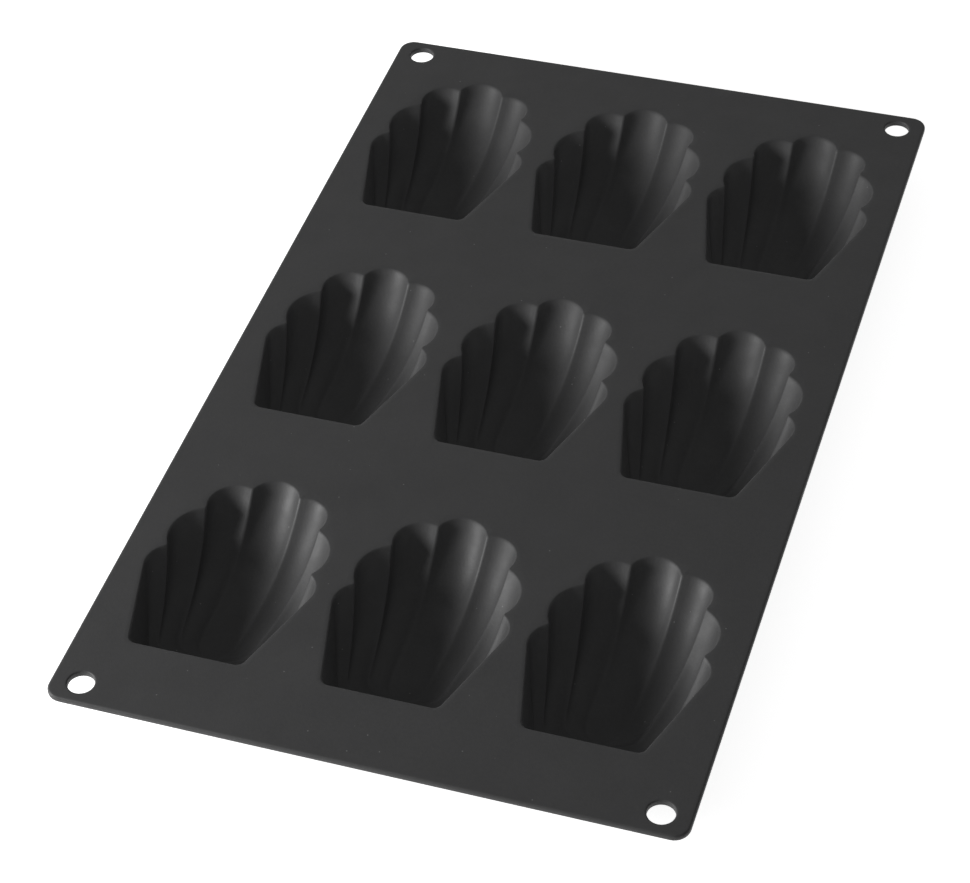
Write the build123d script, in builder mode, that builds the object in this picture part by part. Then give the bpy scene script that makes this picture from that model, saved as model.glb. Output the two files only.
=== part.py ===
"""Madeleine mould: nine fluted shell cups hanging from one flat, flexible sheet.

Millimetres. The origin is the middle of the sheet on the surface that the cups stand on, +X runs across
the sheet, +Y towards the fluted ends of the shells and +Z up.
"""

import os
from math import ceil, hypot, radians, sqrt, tan

from build123d import *

os.makedirs("parts", exist_ok=True)

# Shell cup
cup_depth = 17.0
cup_wall = 1.2  # round each growth line, at the flutes' crests
shell_length = 68.7  # hinge to tip
mouth_width = 49.2
hinge_width = 32.8
shell_lean = 2.6  # degrees that the tip leans towards +X

# Rows and columns of cups, and the sheet left between and around their mouths
columns = 3
rows = 3
column_gap = 5.8
row_gap = 26.8
side_margin = 7.9
hinge_margin = 23.55
tip_margin = 16.75

# Sheet
sheet_thickness = 2.0
sheet_corner_radius = 4.5
sheet_edge_chamfer = 0.5

# Round hole in each corner of the sheet, measured from the long sides and from the ends
hole_radius = 3.7
hole_from_side = 8.4
hole_from_end = 6.8
hole_chamfer = 0.5

# Shape of the flutes on one half of the shell, in half mouth widths: out from the middle and back from the
# tip, first where the ridges between them meet the mouth, then their crests, then the straight side's end
ridge_shares = [(0.289, 0.207), (0.687, 0.626), (0.866, 1.293)]
crest_shares = [(0.0, 0.0), (0.606, 0.260), (0.915, 0.858), (0.984, 1.435)]
side_share = (1.0, 1.634)

# Where the same lines start at the hinge, in half hinge widths out from the middle
ridge_root_shares = [0.28, 0.51, 0.77]
side_root_share = 0.865
hinge_root_share = 0.695
root_setback = 2.0  # the flutes fan out from a line this far in front of the hinge
flute_flats = 5  # flats that each edge of a growth line inside the shell is cut into
outer_relief = 0.4  # depth of the flutes on a cup's outside, as a share of the depth inside

# Growth lines: the mouth outline shrinks towards the hinge as it goes down
growth_shares = [1.0, 0.85, 0.70, 0.57, 0.41, 0.24]
floor_share = 0.42  # of the length over which the floor is level
hinge_draft = 0.22  # how far the hinge wall comes forward for each millimetre of depth

column_pitch = mouth_width + column_gap
row_pitch = shell_length + row_gap
grid_width = columns * mouth_width + (columns - 1) * column_gap
grid_length = rows * shell_length + (rows - 1) * row_gap
sheet_width = grid_width + 2 * side_margin
sheet_length = grid_length + hinge_margin + tip_margin
grid_shift = (hinge_margin - tip_margin) / 2
sheet_top = cup_depth + sheet_thickness
lean = tan(radians(shell_lean))


def shell_section(growth, skin=0.0, drop=0.0, relief=1.0):
    """Face within one growth line of the middle shell, on its tilted plane, grown by a skin and lowered."""
    half_mouth = mouth_width * growth / 2
    half_hinge = hinge_width * (1 - growth) / 2
    hinge_depth = 0.94 * cup_depth * (1 - growth) ** 0.9
    pivot = hinge_draft * hinge_depth
    foot = Vector(half_mouth * hinge_width / mouth_width + hinge_root_share * half_hinge, pivot)

    # Ends of the flutes, drawn back from the mouth outline towards their roots on the hinge
    mouth_ends = [Vector(share, -back) for share, back in [*ridge_shares, side_share]]
    mouth_starts = [Vector(-mouth_ends[0].X, mouth_ends[0].Y), *mouth_ends[:-1]]
    ends = []
    for end, root in zip(mouth_ends, [*ridge_root_shares, side_root_share]):
        reach = shell_length + end.Y * mouth_width / 2 - root_setback
        ends.append(Vector(end.X * half_mouth + root * half_hinge, root_setback + reach * growth))
    starts = [Vector(-ends[0].X, ends[0].Y), *ends[:-1]]

    # Crests: a flute's height over its chord fades as the growth line shrinks
    fade = (0.3 + 0.7 * growth) * sqrt(growth)
    heights = []
    for (share, back), start, end in zip(crest_shares, mouth_starts, mouth_ends):
        heights.append((Vector(share, -back) - (start + end) * 0.5) * (fade * mouth_width / 2))
    crests = [(start + end) * 0.5 + height for start, end, height in zip(starts, ends, heights)]

    # A shallower relief brings the ridges out towards the crests
    for ridge in range(len(ridge_shares)):
        ends[ridge] += (heights[ridge] + heights[ridge + 1]) * ((1 - relief) / 2)
    starts = [Vector(-ends[0].X, ends[0].Y), *ends[:-1]]

    # The plane pivots on the hinge wall and dips to the cup's depth at the tip
    climb = max(growth - floor_share, 0) / (1 - floor_share)
    tip_depth = cup_depth * (1 - climb**2.6)
    dip = (tip_depth - hinge_depth) / (crests[0].Y - pivot + skin)
    stretch = hypot(1, dip)
    plane = Plane(
        origin=(
            lean * (pivot - shell_length / 2),
            grid_shift + pivot - shell_length / 2,
            sheet_top - hinge_depth - drop,
        ),
        x_dir=(1, 0, 0),
        z_dir=(0, dip / stretch, 1 / stretch),
    )

    def on_plane(point):
        """Lean a point of the plan over and lay it on the tilted plane."""
        return (point.X + lean * (point.Y - pivot), (point.Y - pivot) * stretch)

    with BuildSketch(plane) as outline:
        with BuildLine():
            Line(on_plane(Vector(-foot.X, foot.Y)), on_plane(foot))
            ThreePointArc(on_plane(starts[0]), on_plane(crests[0]), on_plane(ends[0]))
            for side in (1, -1):
                for flute in list(zip(starts, crests, ends))[1:]:
                    ThreePointArc(*[on_plane(Vector(side * point.X, point.Y)) for point in flute])
                side_line = [Vector(side * point.X, point.Y) for point in (ends[-1], foot)]
                Line(*[on_plane(point) for point in side_line])
        make_face()
        if skin > 0:
            offset(amount=skin, kind=Kind.INTERSECTION)

    # Cut the outline into flats, fewer where the relief is shallower
    corners = []
    flats = ceil(flute_flats * relief)
    for edge in outline.sketch.face().outer_wire().order_edges():
        corners += [edge @ (flat / flats) for flat in range(flats)]
    return Face(Wire.make_polygon(corners))


# Space inside the middle shell
with BuildPart() as shell_space:
    for growth in growth_shares:
        add(shell_section(growth))
    loft(ruled=True)

# Rim of the middle cup, which fills the sheet's opening
with BuildPart() as rim:
    add(shell_section(1.0, cup_wall, sheet_thickness, outer_relief))
    extrude(amount=sheet_thickness)

# Middle cup: the outside follows the growth lines one sheet thickness lower, with shallower flutes
with BuildPart() as cup:
    for growth in growth_shares:
        add(shell_section(growth, cup_wall, sheet_thickness, outer_relief))
    loft(ruled=True)
    add(rim.part)
    add(shell_space.part, mode=Mode.SUBTRACT)

# Cups: nine separate walls, which share one piece name
with BuildPart() as cups:
    with GridLocations(column_pitch, row_pitch, columns, rows):
        add(cup.part)
cups.part.label = "cups"
export_step(cups.part, "parts/cups.step")

# Sheet: broken outer edge, a hole in each corner and a fluted opening round each cup's rim
with BuildPart() as sheet:
    with BuildSketch(Plane.XY.offset(sheet_top - sheet_thickness)):
        RectangleRounded(sheet_width, sheet_length, sheet_corner_radius)
        with GridLocations(sheet_width - 2 * hole_from_side, sheet_length - 2 * hole_from_end, 2, 2):
            Circle(hole_radius, mode=Mode.SUBTRACT)
    extrude(amount=sheet_thickness)
    top = sheet.faces().sort_by(Axis.Z)[-1]
    underside = sheet.faces().sort_by(Axis.Z)[0]
    hole_rims = [wire.edges()[0] for wire in top.inner_wires()]
    chamfer(top.outer_wire().edges() + underside.outer_wire().edges(), sheet_edge_chamfer)
    chamfer(hole_rims, hole_chamfer)
    with GridLocations(column_pitch, row_pitch, columns, rows):
        add(rim.part, mode=Mode.SUBTRACT)
sheet.part.label = "sheet"
export_step(sheet.part, "parts/sheet.step")
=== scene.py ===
from math import cos, hypot, pi, radians, sin, sqrt, tan

import bmesh
import bpy
import numpy as np
from mathutils import Matrix, Vector
from mathutils.geometry import tessellate_polygon


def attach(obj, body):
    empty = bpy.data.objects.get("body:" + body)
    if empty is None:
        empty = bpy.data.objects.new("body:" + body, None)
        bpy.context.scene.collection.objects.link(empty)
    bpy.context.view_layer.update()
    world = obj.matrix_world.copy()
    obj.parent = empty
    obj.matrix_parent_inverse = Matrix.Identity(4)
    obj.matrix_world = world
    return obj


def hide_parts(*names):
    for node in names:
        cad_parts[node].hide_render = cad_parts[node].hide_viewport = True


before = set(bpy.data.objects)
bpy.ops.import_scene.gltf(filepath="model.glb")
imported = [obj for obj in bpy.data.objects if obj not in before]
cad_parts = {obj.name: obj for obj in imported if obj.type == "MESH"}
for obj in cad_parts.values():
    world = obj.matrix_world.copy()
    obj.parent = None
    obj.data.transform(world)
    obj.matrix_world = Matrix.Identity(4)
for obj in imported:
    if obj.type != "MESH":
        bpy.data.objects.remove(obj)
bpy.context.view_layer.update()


# Shell cups: nine fluted, shell-shaped pockets of soft dark silicone, moulded in one piece with the
# sheet. The mouth outline shrinks towards the hinge on its way down; rims and ridges are rounded.
mm = 0.001
shell_length = 68.7
mouth_width = 49.2
hinge_width = 32.8
cup_depth = 17.0
cup_wall = 1.2
sheet_thickness = 2.0
sheet_top = cup_depth + sheet_thickness
shell_lean = 2.6  # degrees
lean = tan(radians(shell_lean))
outer_relief = 0.4

# Where the flutes' ridges, crests and the straight side meet the mouth, in half mouth widths, and
# where they start at the hinge, in half hinge widths
ridge_shares = [(0.289, 0.207), (0.687, 0.626), (0.866, 1.293)]
crest_shares = [(0.0, 0.0), (0.606, 0.260), (0.915, 0.858), (0.984, 1.435)]
side_share = (1.0, 1.634)
ridge_roots = [0.28, 0.51, 0.77]
side_root, hinge_root = 0.82, 0.65
root_setback = 2.0

# How the growth lines sink: fastest at the hinge wall, level over the floor, then up to the tip
hinge_draft = 0.22
hinge_depth_share, hinge_bend = 0.94, 0.9
floor_share, tip_bend = 0.42, 2.6
last_growth = 0.24

# Softening of the moulded inside
lining = 0.35
rim_spread, rim_drop = 0.4, 1.2
ridge_lift, lift_share, lift_end = 0.5, 0.45, 0.4
ridge_round = 0.45
corner_round = 2.8
floor_passes = 8

# Places of the cups in the sheet
cup_columns, cup_rows = 3, 3
column_pitch, row_pitch, grid_shift = 55.0, 95.5, 3.4


def circle_through(a, b, c):
    """Centre and radius of the circle through three points."""
    d = 2 * (a[0] * (b[1] - c[1]) + b[0] * (c[1] - a[1]) + c[0] * (a[1] - b[1]))
    sa, sb, sc = a @ a, b @ b, c @ c
    x = (sa * (b[1] - c[1]) + sb * (c[1] - a[1]) + sc * (a[1] - b[1])) / d
    y = (sa * (c[0] - b[0]) + sb * (a[0] - c[0]) + sc * (b[0] - a[0])) / d
    centre = np.array([x, y])
    return centre, np.linalg.norm(a - centre)


def ball_between(flute, other, near, reach):
    """Centre of a ball that touches two neighbouring flutes from outside, beside their ridge."""
    (p, pr), (q, qr) = flute, other
    pr, qr = pr + reach, qr + reach
    step = q - p
    gap = np.linalg.norm(step)
    along = (pr**2 - qr**2 + gap**2) / (2 * gap)
    height = sqrt(max(pr**2 - along**2, 0))
    foot = p + step * along / gap
    square = np.array([-step[1], step[0]]) / gap
    choices = [foot + square * height, foot - square * height]
    return min(choices, key=lambda centre: np.linalg.norm(centre - near))


def arc(centre, radius, start, end, count):
    """Points on a circle, by the short way round, between the directions of two points."""
    first = np.arctan2(*(start - centre)[::-1])
    turn = (np.arctan2(*(end - centre)[::-1]) - first + pi) % (2 * pi) - pi
    angles = first + turn * np.linspace(0, 1, count)
    return centre + radius * np.c_[np.cos(angles), np.sin(angles)]


def growth_line(growth, grow, drop, relief):
    """Closed outline of the middle shell at one growth, grown outward and lowered, in space."""
    half_mouth = mouth_width * growth / 2
    half_hinge = hinge_width * (1 - growth) / 2
    hinge_depth = hinge_depth_share * cup_depth * (1 - growth) ** hinge_bend
    pivot = hinge_draft * hinge_depth
    foot = (half_mouth * hinge_width / mouth_width + hinge_root * half_hinge, pivot)
    mouth_ends = np.array([*ridge_shares, side_share]) * (1, -1)
    mouth_starts = np.array([mouth_ends[0] * (-1, 1), *mouth_ends[:-1]])
    reach = shell_length + mouth_ends[:, 1] * mouth_width / 2 - root_setback
    across = mouth_ends[:, 0] * half_mouth + np.array([*ridge_roots, side_root]) * half_hinge
    ends = np.c_[across, root_setback + reach * growth]
    starts = np.array([ends[0] * (-1, 1), *ends[:-1]])
    fade = (0.3 + 0.7 * growth) * sqrt(growth)
    mouth_heights = np.array(crest_shares) * (1, -1) - (mouth_starts + mouth_ends) / 2
    heights = mouth_heights * fade * mouth_width / 2
    crests = (starts + ends) / 2 + heights
    ends[:3] += (heights[:3] + heights[1:]) * (1 - relief) / 2
    starts = np.array([ends[0] * (-1, 1), *ends[:-1]])
    climb = max(growth - floor_share, 0) / (1 - floor_share)
    tip_depth = cup_depth * (1 - climb**tip_bend)
    dip = (tip_depth - hinge_depth) / (crests[0][1] - pivot + grow * (drop > 0))
    stretch = hypot(1, dip)

    def on_plane(point, side=1):
        across, along = side * point[0], point[1] - pivot
        return np.array([across + lean * along, along * stretch])

    # Flutes as circles, from the right side round the tip to the left side
    flutes, joins = [], []
    for flute in (3, 2, 1):
        points = (on_plane(p) for p in (ends[flute], crests[flute], starts[flute]))
        flutes.append(circle_through(*points))
        joins.append(on_plane(starts[flute]))
    flutes.append(circle_through(*(on_plane(p) for p in (ends[0], crests[0], starts[0]))))
    for flute in (1, 2, 3):
        joins.append(on_plane(starts[flute], -1))
        points = (on_plane(p, -1) for p in (starts[flute], crests[flute], ends[flute]))
        flutes.append(circle_through(*points))
    balls = []
    for (flute, other), join in zip(zip(flutes, flutes[1:]), joins):
        balls.append(ball_between(flute, other, join, max(ridge_round, grow)))

    # Hinge wall, rounded corners and straight sides
    feet = {side: on_plane(foot, side) for side in (1, -1)}
    side_ends = {side: on_plane(ends[3], side) for side in (1, -1)}
    corner, normal = {}, {}
    bend = corner_round * (0.4 + 0.6 * growth)
    for side in (1, -1):
        run = side_ends[side] - feet[side]
        run /= np.linalg.norm(run)
        normal[side] = side * np.array([run[1], -run[0]])
        inset = bend * (1 - side * run[0]) / abs(run[1])
        corner[side] = feet[side] + np.array([-side * inset, bend])
    down = np.array([0.0, -1.0])
    swing = bend + grow
    start = flutes[0][0] + (flutes[0][1] + grow) * (side_ends[1] - flutes[0][0]) / flutes[0][1]
    finish = flutes[6][0] + (flutes[6][1] + grow) * (side_ends[-1] - flutes[6][0]) / flutes[6][1]
    loop, lifts = [], []

    def lay(points, lift=0.0):
        """Add points to the outline, with the share of the ridge lift that each one takes."""
        loop.append(points)
        lifts.append(np.full(len(points), lift))

    lay(np.linspace(corner[-1] + swing * down, corner[1] + swing * down, 9))
    lay(arc(corner[1], swing, corner[1] + down, corner[1] + normal[1], 6)[1:])
    lay(np.linspace(corner[1] + swing * normal[1], start, 9)[1:])
    steps = np.linspace(-1, 1, 12)[1:]
    for i, (centre, radius) in enumerate(flutes):
        end = balls[i] if i < 6 else finish
        lift = np.where(np.abs(i + steps / 2 - 3) < 2, steps**2, 0)
        lay(arc(centre, radius + grow, start, end, 12)[1:], lift)
        if i < 6:
            ridge_left = max(ridge_round - grow, 0)
            lay(arc(balls[i], ridge_left, centre, flutes[i + 1][0], 4)[1:], float(0 < i < 5))
            start = balls[i]
    lay(np.linspace(finish, corner[-1] + swing * normal[-1], 9)[1:])
    lay(arc(corner[-1], swing, corner[-1] + normal[-1], corner[-1] + down, 6)[1:-1])
    flat = np.concatenate(loop)
    sunk = min((1 - growth) / lift_share, 1)
    rise = ridge_lift * relief * sunk**2 * (3 - 2 * sunk) * min(growth / lift_end, 1)

    x = flat[:, 0] + lean * (pivot - shell_length / 2)
    y = flat[:, 1] / stretch + grid_shift + pivot - shell_length / 2
    z = sheet_top - hinge_depth - drop - flat[:, 1] * dip / stretch
    z += rise * np.concatenate(lifts)
    return np.c_[x, y, z] * mm


def cup_skin(grow, drop, relief, rows):
    """Rows of points from the rim's rounding down one face of the cup wall and over its floor."""
    growths = 1 - (1 - last_growth) * np.linspace(0, 1, 90) ** 1.4
    walls = np.array([growth_line(growth, grow, drop, relief) for growth in growths])
    brim = growth_line(1.0, grow + rim_spread, drop, relief)
    lengths = np.zeros(walls.shape[:2])
    lengths[1:] = np.cumsum(np.linalg.norm(np.diff(walls, axis=0), axis=2), axis=0)
    wanted = np.linspace(0, 1, rows) ** 1.25
    skin = []
    for column in range(walls.shape[1]):
        line, length = walls[:, column], lengths[:, column]
        at = rim_drop * mm + wanted * (length[-1] - rim_drop * mm)
        points = np.c_[[np.interp(at, length, line[:, axis]) for axis in range(3)]].T
        share = np.linspace(0, 1, 6)[:-1, None]
        turn = (1 - share) ** 2 * brim[column] + 2 * share * (1 - share) * line[0]
        skin.append(np.concatenate([turn + share**2 * points[0], points]))
    skin = np.array(skin).transpose(1, 0, 2)
    floor = skin[-1].mean(axis=0)
    inward = [floor + (skin[-1] - floor) * share for share in (0.86, 0.7, 0.5, 0.3, 0.12)]
    skin = np.concatenate([skin, inward])
    for _ in range(floor_passes):
        soft = skin.copy()
        soft[rows:-1] = (skin[rows - 1 : -2] + 2 * skin[rows:-1] + skin[rows + 1 :]) / 4
        skin = soft
    return skin


inside = cup_skin(-lining, 0.0, 1.0, rows=34)
outside = cup_skin(cup_wall, sheet_thickness, outer_relief, rows=20)
band_top = growth_line(1.0, cup_wall, 0.0, outer_relief)
band_foot = band_top - np.array([0, 0, sheet_thickness * mm])
rings = np.concatenate([inside[::-1], [band_top], [band_foot], outside])
count, around = rings.shape[:2]
cup_points = rings.reshape(-1, 3).tolist()
cup_points += [rings[0].mean(axis=0).tolist(), rings[-1].mean(axis=0).tolist()]
cup_faces = []
for ring in range(count - 1):
    here, there = ring * around, (ring + 1) * around
    for i in range(around):
        j = (i + 1) % around
        cup_faces.append((here + i, there + i, there + j, here + j))
last_ring = (count - 1) * around
for i in range(around):
    j = (i + 1) % around
    cup_faces.append((len(cup_points) - 2, i, j))
    cup_faces.append((len(cup_points) - 1, last_ring + j, last_ring + i))
cup_mesh = bpy.data.meshes.new("one_cup")
cup_mesh.from_pydata(cup_points, [], cup_faces)
one_cup = bpy.data.objects.new("one_cup", cup_mesh)
bm = bmesh.new()
bm.from_mesh(cup_mesh)
bmesh.ops.remove_doubles(bm, verts=bm.verts, dist=2e-6)
bmesh.ops.recalc_face_normals(bm, faces=bm.faces)
bm.to_mesh(cup_mesh)
bm.free()
for polygon in cup_mesh.polygons:
    polygon.use_smooth = True
cup_mesh.set_sharp_from_angle(angle=radians(60))

silicone = bpy.data.materials.new("dark_silicone")
silicone.use_nodes = True
nodes, links = silicone.node_tree.nodes, silicone.node_tree.links
shader = nodes["Principled BSDF"]
shader.inputs["IOR"].default_value = 1.41
shader.inputs["Sheen Weight"].default_value = 0.04
shader.inputs["Sheen Roughness"].default_value = 0.5
place = nodes.new("ShaderNodeTexCoord")


def cloud(scale, detail, low, high):
    """Soft noise over the object, stretched to run from a low to a high value."""
    noise = nodes.new("ShaderNodeTexNoise")
    noise.inputs["Scale"].default_value = scale
    noise.inputs["Detail"].default_value = detail
    links.new(place.outputs["Object"], noise.inputs["Vector"])
    spread = nodes.new("ShaderNodeMapRange")
    spread.inputs["From Min"].default_value = 0.3
    spread.inputs["From Max"].default_value = 0.7
    spread.inputs["To Min"].default_value = low
    spread.inputs["To Max"].default_value = high
    links.new(noise.outputs["Fac"], spread.inputs["Value"])
    return spread.outputs["Result"]


def tint(share, first, second):
    """Mix two colours, each a socket or a plain colour, by a share."""
    mix = nodes.new("ShaderNodeMix")
    mix.data_type = "RGBA"
    links.new(share, mix.inputs["Factor"])
    for name, colour in (("A", first), ("B", second)):
        socket = next(i for i in mix.inputs if i.name == name and i.type == "RGBA")
        if isinstance(colour, tuple):
            socket.default_value = colour
        else:
            links.new(colour, socket)
    return next(o for o in mix.outputs if o.type == "RGBA")


# Cloudy tone of the pigment, with a finer bloom over it and a few specks of dust
bloom = tint(cloud(70, 5, 0, 1), (0.0405, 0.0405, 0.0412, 1), (0.0475, 0.0475, 0.0482, 1))
grain = tint(cloud(900, 3, 0, 1), (0.039, 0.039, 0.0397, 1), (0.049, 0.049, 0.0496, 1))
grain_share = nodes.new("ShaderNodeMath")
grain_share.operation = "MULTIPLY"
grain_share.inputs[1].default_value = 0.5
links.new(cloud(25, 2, 0.6, 1.0), grain_share.inputs[0])
pigment = tint(grain_share.outputs[0], bloom, grain)
specks = nodes.new("ShaderNodeTexVoronoi")
specks.inputs["Scale"].default_value = 240
links.new(place.outputs["Object"], specks.inputs["Vector"])
small = nodes.new("ShaderNodeMath")
small.operation = "LESS_THAN"
small.inputs[1].default_value = 0.05
links.new(specks.outputs["Distance"], small.inputs[0])
lot = nodes.new("ShaderNodeSeparateColor")
links.new(specks.outputs["Color"], lot.inputs["Color"])
few = nodes.new("ShaderNodeMath")
few.operation = "LESS_THAN"
few.inputs[1].default_value = 0.35
links.new(lot.outputs["Red"], few.inputs[0])
dust = nodes.new("ShaderNodeMath")
dust.operation = "MULTIPLY"
links.new(small.outputs[0], dust.inputs[0])
links.new(few.outputs[0], dust.inputs[1])
links.new(tint(dust.outputs[0], pigment, (0.13, 0.13, 0.13, 1)), shader.inputs["Base Color"])

# Satin skin of the mould, with a fine pebble and a faint waviness
links.new(cloud(120, 4, 0.5, 0.62), shader.inputs["Roughness"])
pebble = nodes.new("ShaderNodeBump")
pebble.inputs["Strength"].default_value = 0.25
pebble.inputs["Distance"].default_value = 0.00006
links.new(cloud(1600, 3, 0, 1), pebble.inputs["Height"])
wave = nodes.new("ShaderNodeBump")
wave.inputs["Strength"].default_value = 0.2
wave.inputs["Distance"].default_value = 0.0004
links.new(cloud(60, 2, 0, 1), wave.inputs["Height"])
links.new(pebble.outputs["Normal"], wave.inputs["Normal"])
links.new(wave.outputs["Normal"], shader.inputs["Normal"])

# Grid that sets the nine cups in their rows and columns
tree = bpy.data.node_groups.new("cup_grid", "GeometryNodeTree")
tree.is_modifier = True
tree.interface.new_socket("Cup", in_out="INPUT", socket_type="NodeSocketObject")
tree.interface.new_socket("Columns", in_out="INPUT", socket_type="NodeSocketInt")
tree.interface.new_socket("Rows", in_out="INPUT", socket_type="NodeSocketInt")
tree.interface.new_socket("Column pitch", in_out="INPUT", socket_type="NodeSocketFloat")
tree.interface.new_socket("Row pitch", in_out="INPUT", socket_type="NodeSocketFloat")
tree.interface.new_socket("Finish", in_out="INPUT", socket_type="NodeSocketMaterial")
tree.interface.new_socket("Cups", in_out="OUTPUT", socket_type="NodeSocketGeometry")
group_in, group_out = tree.nodes.new("NodeGroupInput"), tree.nodes.new("NodeGroupOutput")


def span(count, pitch):
    """Width of a row of copies: the pitch times one less than their number."""
    less = tree.nodes.new("ShaderNodeMath")
    less.operation = "SUBTRACT"
    less.inputs[1].default_value = 1
    times = tree.nodes.new("ShaderNodeMath")
    times.operation = "MULTIPLY"
    tree.links.new(group_in.outputs[count], less.inputs[0])
    tree.links.new(less.outputs[0], times.inputs[0])
    tree.links.new(group_in.outputs[pitch], times.inputs[1])
    return times.outputs[0]


grid = tree.nodes.new("GeometryNodeMeshGrid")
tree.links.new(span("Columns", "Column pitch"), grid.inputs["Size X"])
tree.links.new(span("Rows", "Row pitch"), grid.inputs["Size Y"])
tree.links.new(group_in.outputs["Columns"], grid.inputs["Vertices X"])
tree.links.new(group_in.outputs["Rows"], grid.inputs["Vertices Y"])
source = tree.nodes.new("GeometryNodeObjectInfo")
tree.links.new(group_in.outputs["Cup"], source.inputs["Object"])
copies = tree.nodes.new("GeometryNodeInstanceOnPoints")
tree.links.new(grid.outputs["Mesh"], copies.inputs["Points"])
tree.links.new(source.outputs["Geometry"], copies.inputs["Instance"])
realize = tree.nodes.new("GeometryNodeRealizeInstances")
tree.links.new(copies.outputs["Instances"], realize.inputs["Geometry"])
finish = tree.nodes.new("GeometryNodeSetMaterial")
tree.links.new(realize.outputs["Geometry"], finish.inputs["Geometry"])
tree.links.new(group_in.outputs["Finish"], finish.inputs["Material"])
tree.links.new(finish.outputs["Geometry"], group_out.inputs["Cups"])

carrier = bpy.data.objects.new("cup_grid", bpy.data.meshes.new("cup_grid"))
bpy.context.scene.collection.objects.link(carrier)
modifier = carrier.modifiers.new("cup_grid", "NODES")
modifier.node_group = tree
settings = {
    "Cup": one_cup,
    "Columns": cup_columns,
    "Rows": cup_rows,
    "Column pitch": column_pitch * mm,
    "Row pitch": row_pitch * mm,
    "Finish": silicone,
}
for item in tree.interface.items_tree:
    if item.in_out == "INPUT":
        modifier[item.identifier] = settings[item.name]
made = carrier.evaluated_get(bpy.context.evaluated_depsgraph_get())
shell_cups = bpy.data.objects.new("shell_cups", bpy.data.meshes.new_from_object(made))
carrier.modifiers.remove(modifier)
bpy.data.objects.remove(carrier)
bpy.context.scene.collection.objects.link(shell_cups)
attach(shell_cups, "root")
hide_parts("cups")


# Sheet: the flat flexible sheet that carries the cups, of the same silicone, 2 mm thick.
# Its outer edge and corners are soft, and a round hole with a rounded rim goes through each corner.
sheet_width, sheet_length = 175.0, 300.0
corner_radius = 4.5
edge_round = 0.7
edge_flat = 0.5
hole_radius = 3.7
hole_round = 0.5
hole_from_side, hole_from_end = 8.4, 6.8
hole_x, hole_y = sheet_width / 2 - hole_from_side, sheet_length / 2 - hole_from_end
hole_places = [(sx * hole_x, sy * hole_y) for sx in (-1, 1) for sy in (-1, 1)]


def outer_ring(inset):
    """The sheet's outline with round corners, drawn in by an inset."""
    ring = []
    radius = corner_radius - inset
    for turn, (sx, sy) in enumerate(((1, 1), (-1, 1), (-1, -1), (1, -1))):
        centre = (sx * (sheet_width / 2 - corner_radius), sy * (sheet_length / 2 - corner_radius))
        for step in range(9):
            angle = pi / 2 * (turn + step / 8)
            ring.append((centre[0] + radius * cos(angle), centre[1] + radius * sin(angle)))
    return ring


def hole_ring(centre, radius):
    """A circle round one corner hole."""
    angles = [2 * pi * step / 48 for step in range(48)]
    return [(centre[0] + radius * cos(angle), centre[1] + radius * sin(angle)) for angle in angles]


bm = bmesh.new()


def stack(rings):
    """Join rings of equal counts into a wall and give back its first and last ring of corners."""
    layers = [[bm.verts.new((x * mm, y * mm, z * mm)) for x, y, z in ring] for ring in rings]
    for low, high in zip(layers, layers[1:]):
        for i in range(len(low)):
            j = (i + 1) % len(low)
            bm.faces.new((low[i], low[j], high[j], high[i]))
    return layers[0], layers[-1]


def rounding(radius):
    """Depth into the sheet and height of points from its underside round an edge to its top."""
    under = sheet_top - sheet_thickness
    turns = [pi / 2 * step / 5 for step in range(6)]
    low = [(radius * (1 - sin(a)), under + radius * (1 - cos(a))) for a in turns]
    high = [(radius * (1 - cos(a)), sheet_top - radius * (1 - sin(a))) for a in turns]
    return [(radius + edge_flat, under), *low, *high, (radius + edge_flat, sheet_top)]


walls = [stack([[(x, y, z) for x, y in outer_ring(inset)] for inset, z in rounding(edge_round)])]
for place in hole_places:
    levels = [(hole_ring(place, hole_radius + inset), z) for inset, z in rounding(hole_round)]
    walls.append(stack([[(x, y, z) for x, y in ring] for ring, z in levels]))
for column in (-1, 0, 1):
    for row in (-1, 0, 1):
        shift = np.array([column * column_pitch, row * row_pitch, 0])
        top_edge = band_top / mm + shift
        walls.append(stack([(top_edge - [0, 0, sheet_thickness]).tolist(), top_edge.tolist()]))

# Top and underside, each one face with the holes and the cups' openings left out
for side in (0, 1):
    loops = [wall[side] for wall in walls]
    loop_verts = [vert for loop in loops for vert in loop]
    flat_loops = [[Vector((vert.co.x, vert.co.y, 0)) for vert in loop] for loop in loops]
    for triangle in tessellate_polygon(flat_loops):
        a, b, c = (loop_verts[i] for i in triangle)
        if len({a, b, c}) == 3:
            bm.faces.new((a, b, c))
bmesh.ops.remove_doubles(bm, verts=bm.verts, dist=1e-6)
bmesh.ops.recalc_face_normals(bm, faces=bm.faces)
sheet_mesh = bpy.data.meshes.new("mould_sheet")
bm.to_mesh(sheet_mesh)
bm.free()
for polygon in sheet_mesh.polygons:
    polygon.use_smooth = True
sheet_mesh.set_sharp_from_angle(angle=radians(35))
mould_sheet = bpy.data.objects.new("mould_sheet", sheet_mesh)
mould_sheet.data.materials.append(silicone)
bpy.context.scene.collection.objects.link(mould_sheet)
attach(mould_sheet, "root")
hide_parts("sheet")


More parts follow.
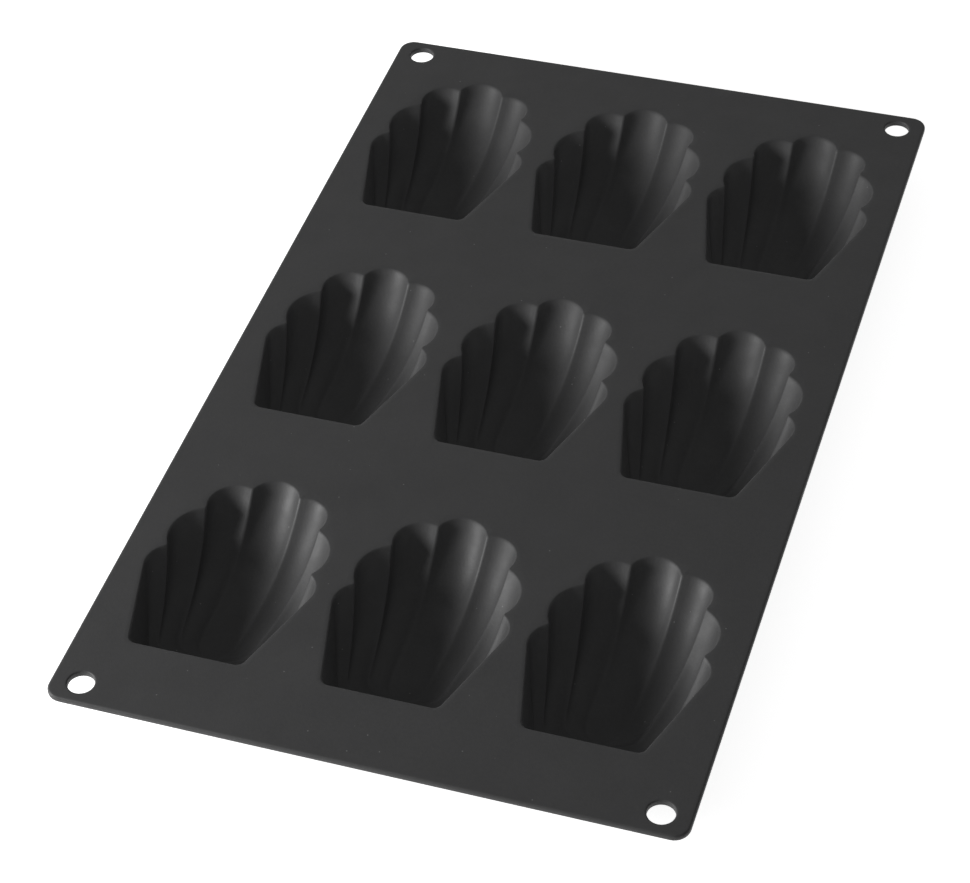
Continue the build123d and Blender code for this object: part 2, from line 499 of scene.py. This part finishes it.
# Studio: a plain white floor, like a wide dish whose rim rises far from the mould, a soft lamp low
# on the near left, a dim white surrounding and the camera of the photograph.
flat_radius, cove_radius, rim_height, dish_sides = 3.2, 0.8, 1.1, 96
dish = [(1.5, 0.0), (flat_radius, 0.0)]
for step in range(1, 11):
    a = pi / 2 * step / 10
    dish.append((flat_radius + cove_radius * sin(a), cove_radius - cove_radius * cos(a)))
dish.append((flat_radius + cove_radius, rim_height))
turns = [2 * pi * step / dish_sides for step in range(dish_sides)]
dish_points = [(radius * cos(a), radius * sin(a), z) for radius, z in dish for a in turns]
dish_points.append((0, 0, 0))
dish_faces = [(i, (i + 1) % dish_sides, len(dish_points) - 1) for i in range(dish_sides)]
for ring in range(len(dish) - 1):
    here, there = ring * dish_sides, (ring + 1) * dish_sides
    for i in range(dish_sides):
        j = (i + 1) % dish_sides
        dish_faces.append((here + j, here + i, there + i, there + j))
floor_mesh = bpy.data.meshes.new("floor")
floor_mesh.from_pydata(dish_points, [], dish_faces)
for polygon in floor_mesh.polygons:
    polygon.use_smooth = True
floor = bpy.data.objects.new("floor", floor_mesh)
bpy.context.scene.collection.objects.link(floor)
floor_paint = bpy.data.materials.new("floor_paint")
floor_paint.use_nodes = True
floor_nodes, floor_links = floor_paint.node_tree.nodes, floor_paint.node_tree.links
paint = floor_nodes["Principled BSDF"]
paint.inputs["Base Color"].default_value = (0.8, 0.8, 0.8, 1)
paint.inputs["Roughness"].default_value = 0.9

# White for the camera, in reflections and through glass, with no diffuse light on the mould
glow = floor_nodes.new("ShaderNodeEmission")
glow.inputs["Color"].default_value = (1, 1, 1, 1)
seen = floor_nodes.new("ShaderNodeLightPath")
glossy = floor_nodes.new("ShaderNodeMath")
glossy.operation = "MAXIMUM"
floor_links.new(seen.outputs["Is Camera Ray"], glossy.inputs[0])
floor_links.new(seen.outputs["Is Glossy Ray"], glossy.inputs[1])
clear = floor_nodes.new("ShaderNodeMath")
clear.operation = "MAXIMUM"
floor_links.new(glossy.outputs[0], clear.inputs[0])
floor_links.new(seen.outputs["Is Transmission Ray"], clear.inputs[1])
white = floor_nodes.new("ShaderNodeMath")
white.operation = "MULTIPLY"
white.inputs[1].default_value = 0.85
floor_links.new(clear.outputs[0], white.inputs[0])
floor_links.new(white.outputs[0], glow.inputs["Strength"])
both = floor_nodes.new("ShaderNodeAddShader")
floor_links.new(paint.outputs[0], both.inputs[0])
floor_links.new(glow.outputs[0], both.inputs[1])
floor_links.new(both.outputs[0], floor_nodes["Material Output"].inputs["Surface"])
floor.data.materials.append(floor_paint)

world = bpy.data.worlds.new("studio")
bpy.context.scene.world = world
world.use_nodes = True
surrounding = world.node_tree.nodes["Background"]
surrounding.inputs["Color"].default_value = (1, 1, 1, 1)
surrounding.inputs["Strength"].default_value = 0.25


def soft_lamp(name, azimuth, elevation, distance, size, power):
    """A square soft lamp aimed at the middle of the sheet."""
    lamp = bpy.data.lights.new(name, "AREA")
    lamp.shape, lamp.size, lamp.energy = "SQUARE", size, power
    holder = bpy.data.objects.new(name, lamp)
    a, e = radians(azimuth), radians(elevation)
    away = Vector((sin(a) * cos(e), cos(a) * cos(e), sin(e)))
    holder.location = away * distance + Vector((0, 0, sheet_top * mm))
    holder.rotation_euler = away.to_track_quat("Z", "Y").to_euler()
    bpy.context.scene.collection.objects.link(holder)


soft_lamp("key_lamp", -120, 20, 0.9, 0.24, 8.8)

lens = bpy.data.cameras.new("camera")
lens.sensor_width = 36
lens.lens = 107.9395
lens.shift_x = 0.0928
lens.clip_start = 0.01
camera = bpy.data.objects.new("camera", lens)
camera.matrix_world = Matrix(
    (
        (0.94524, -0.18274, 0.27041, 0.19568),
        (0.32116, 0.66824, -0.67105, -0.59000),
        (-0.05807, 0.72115, 0.69034, 0.57186 + sheet_top * mm),
        (0, 0, 0, 1),
    )
)
bpy.context.scene.collection.objects.link(camera)
bpy.context.scene.camera = camera
bpy.context.scene.view_settings.view_transform = "Standard"
